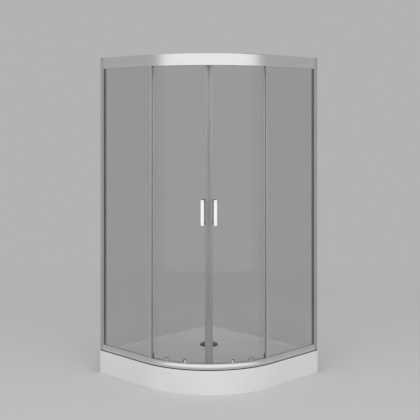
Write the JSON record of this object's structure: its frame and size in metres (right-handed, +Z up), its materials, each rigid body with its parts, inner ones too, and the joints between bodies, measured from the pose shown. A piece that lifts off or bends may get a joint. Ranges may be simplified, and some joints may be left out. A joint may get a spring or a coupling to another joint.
{
  "type": "quadrant shower enclosure",
  "caption": "Corner shower enclosure with a curved front: a raised white quadrant tray, fixed glass at the walls and curved glass doors that slide apart on rollers.",
  "frame": {"origin": "on the floor, under the middle of the plan's square", "axes": "+Z up; the walls stand at -X and +Y; the curved front faces +X and -Y"},
  "size_m": [1, 1, 2.045],
  "materials": {
    "white_acrylic": "glossy white sanitary acrylic",
    "tray_board": "raw chipboard under the tray",
    "galvanised_steel": "galvanised, dull",
    "zinc_steel": "zinc-plated",
    "black_plastic": "moulded, matt",
    "white_plastic": "moulded, satin",
    "polished_steel": "polished",
    "black_rubber": "matt",
    "dark_cover": "dark polished plate",
    "polished_aluminium": "bright polished anodised silver",
    "grey_plastic": "moulded, satin",
    "grey_gasket": "matt dark grey",
    "clear_vinyl": "translucent grey, flexible",
    "clear_glass": "clear toughened, faint grey tint",
    "chrome": "mirror chrome",
    "nylon": "moulded nylon, satin"
  },
  "bodies": {
    "frame": {"bottom_rail": "polished_aluminium", "corner_blocks": "black_plastic", "fixed_glass_left": "clear_glass", "fixed_glass_right": "clear_glass", "fixed_stile_left": "polished_aluminium", "fixed_stile_right": "polished_aluminium", "frame_screws": "zinc_steel", "glazing_gaskets": "grey_gasket", "outlet_nut": "white_plastic", "outlet_pipe": "white_plastic", "post_caps": "grey_plastic", "post_gaskets": "grey_gasket", "side_post_left": "polished_aluminium", "side_post_right": "polished_aluminium", "stile_seals": "grey_gasket", "top_rail": "polished_aluminium", "track_stops": "black_plastic", "tray_board": "tray_board", "tray_feet": "black_plastic", "tray_frame": "galvanised_steel", "tray_legs": "zinc_steel", "tray_shell": "white_acrylic", "wall_profile_left": "polished_aluminium", "wall_profile_right": "polished_aluminium", "waste_body": "white_plastic", "waste_flange": "polished_steel", "waste_seal": "black_rubber"},
    "left_door": {"door_glass_left": "clear_glass", "leading_profile_left": "polished_aluminium", "magnet_seal_left": "clear_vinyl", "trailing_profile_left": "polished_aluminium", "bottom_seal_left": "clear_vinyl", "handle_left": "chrome", "handle_inner_left": "chrome", "roller_mounts_left": "chrome", "lower_spring_front_left": "zinc_steel", "lower_spring_rear_left": "zinc_steel"},
    "upper_wheel_front_left": {"upper_wheel_front_left": "nylon"},
    "lower_wheel_front_left": {"lower_wheel_front_left": "nylon"},
    "lower_carriage_front_left": {"lower_carriage_front_left": "chrome"},
    "upper_wheel_rear_left": {"upper_wheel_rear_left": "nylon"},
    "lower_wheel_rear_left": {"lower_wheel_rear_left": "nylon"},
    "lower_carriage_rear_left": {"lower_carriage_rear_left": "chrome"},
    "right_door": {"door_glass_right": "clear_glass", "leading_profile_right": "polished_aluminium", "magnet_seal_right": "clear_vinyl", "trailing_profile_right": "polished_aluminium", "bottom_seal_right": "clear_vinyl", "handle_right": "chrome", "handle_inner_right": "chrome", "roller_mounts_right": "chrome", "lower_spring_front_right": "zinc_steel", "lower_spring_rear_right": "zinc_steel"},
    "upper_wheel_front_right": {"upper_wheel_front_right": "nylon"},
    "lower_wheel_front_right": {"lower_wheel_front_right": "nylon"},
    "lower_carriage_front_right": {"lower_carriage_front_right": "chrome"},
    "upper_wheel_rear_right": {"upper_wheel_rear_right": "nylon"},
    "lower_wheel_rear_right": {"lower_wheel_rear_right": "nylon"},
    "lower_carriage_rear_right": {"lower_carriage_rear_right": "chrome"},
    "drain_cover": {"drain_cover": "dark_cover"}
  },
  "joints": [
    {"name": "left_door_slide", "type": "hinge", "parent": "frame", "child": "left_door", "pos_m": [-0.079, 0.17, 1.1], "axis": [0, 0, -1], "range_deg": [0, 22.7]},
    {"name": "upper_wheel_front_left_spin", "type": "hinge", "parent": "left_door", "child": "upper_wheel_front_left", "pos_m": [0.19879, -0.40821, 2.0063], "axis": [0.4772, -0.8788, 0], "continuous": true},
    {"name": "lower_carriage_front_left_release", "type": "slide", "parent": "left_door", "child": "lower_carriage_front_left", "axis": [0, 0, -1], "range_m": [0, 0.004], "stiffness_N_per_m": 1500, "springref_m": -0.002, "deforming": ["lower_spring_front_left"]},
    {"name": "lower_wheel_front_left_spin", "type": "hinge", "parent": "lower_carriage_front_left", "child": "lower_wheel_front_left", "pos_m": [0.19879, -0.40821, 0.1735], "axis": [0.4772, -0.8788, 0], "continuous": true},
    {"name": "upper_wheel_rear_left_spin", "type": "hinge", "parent": "left_door", "child": "upper_wheel_rear_left", "pos_m": [0.08055, -0.45479, 2.0063], "axis": [0.2504, -0.9681, 0], "continuous": true},
    {"name": "lower_carriage_rear_left_release", "type": "slide", "parent": "left_door", "child": "lower_carriage_rear_left", "axis": [0, 0, -1], "range_m": [0, 0.004], "stiffness_N_per_m": 1500, "springref_m": -0.002, "deforming": ["lower_spring_rear_left"]},
    {"name": "lower_wheel_rear_left_spin", "type": "hinge", "parent": "lower_carriage_rear_left", "child": "lower_wheel_rear_left", "pos_m": [0.08055, -0.45479, 0.1735], "axis": [0.2504, -0.9681, 0], "continuous": true},
    {"name": "right_door_slide", "type": "hinge", "parent": "frame", "child": "right_door", "pos_m": [-0.17, 0.079, 1.1], "axis": [0, 0, 1], "range_deg": [0, 22.7]},
    {"name": "upper_wheel_front_right_spin", "type": "hinge", "parent": "right_door", "child": "upper_wheel_front_right", "pos_m": [0.40821, -0.19879, 2.0063], "axis": [0.8788, -0.4772, 0], "continuous": true},
    {"name": "lower_carriage_front_right_release", "type": "slide", "parent": "right_door", "child": "lower_carriage_front_right", "axis": [0, 0, -1], "range_m": [0, 0.004], "stiffness_N_per_m": 1500, "springref_m": -0.002, "deforming": ["lower_spring_front_right"]},
    {"name": "lower_wheel_front_right_spin", "type": "hinge", "parent": "lower_carriage_front_right", "child": "lower_wheel_front_right", "pos_m": [0.40821, -0.19879, 0.1735], "axis": [0.8788, -0.4772, 0], "continuous": true},
    {"name": "upper_wheel_rear_right_spin", "type": "hinge", "parent": "right_door", "child": "upper_wheel_rear_right", "pos_m": [0.45479, -0.08055, 2.0063], "axis": [0.9681, -0.2504, 0], "continuous": true},
    {"name": "lower_carriage_rear_right_release", "type": "slide", "parent": "right_door", "child": "lower_carriage_rear_right", "axis": [0, 0, -1], "range_m": [0, 0.004], "stiffness_N_per_m": 1500, "springref_m": -0.002, "deforming": ["lower_spring_rear_right"]},
    {"name": "lower_wheel_rear_right_spin", "type": "hinge", "parent": "lower_carriage_rear_right", "child": "lower_wheel_rear_right", "pos_m": [0.45479, -0.08055, 0.1735], "axis": [0.9681, -0.2504, 0], "continuous": true},
    {"name": "drain_cover_lift", "type": "slide", "parent": "frame", "child": "drain_cover", "axis": [0, 0, 1], "range_m": [0, 0.04]}
  ],
  "couplings": [
    {"joint": "upper_wheel_front_left_spin", "follows": "left_door_slide", "ratio": 49.345},
    {"joint": "lower_wheel_front_left_spin", "follows": "left_door_slide", "ratio": -83.309},
    {"joint": "upper_wheel_rear_left_spin", "follows": "left_door_slide", "ratio": 49.603},
    {"joint": "lower_wheel_rear_left_spin", "follows": "left_door_slide", "ratio": -83.746},
    {"joint": "upper_wheel_front_right_spin", "follows": "right_door_slide", "ratio": -49.345},
    {"joint": "lower_wheel_front_right_spin", "follows": "right_door_slide", "ratio": 83.309},
    {"joint": "upper_wheel_rear_right_spin", "follows": "right_door_slide", "ratio": -49.603},
    {"joint": "lower_wheel_rear_right_spin", "follows": "right_door_slide", "ratio": 83.746}
  ]
}
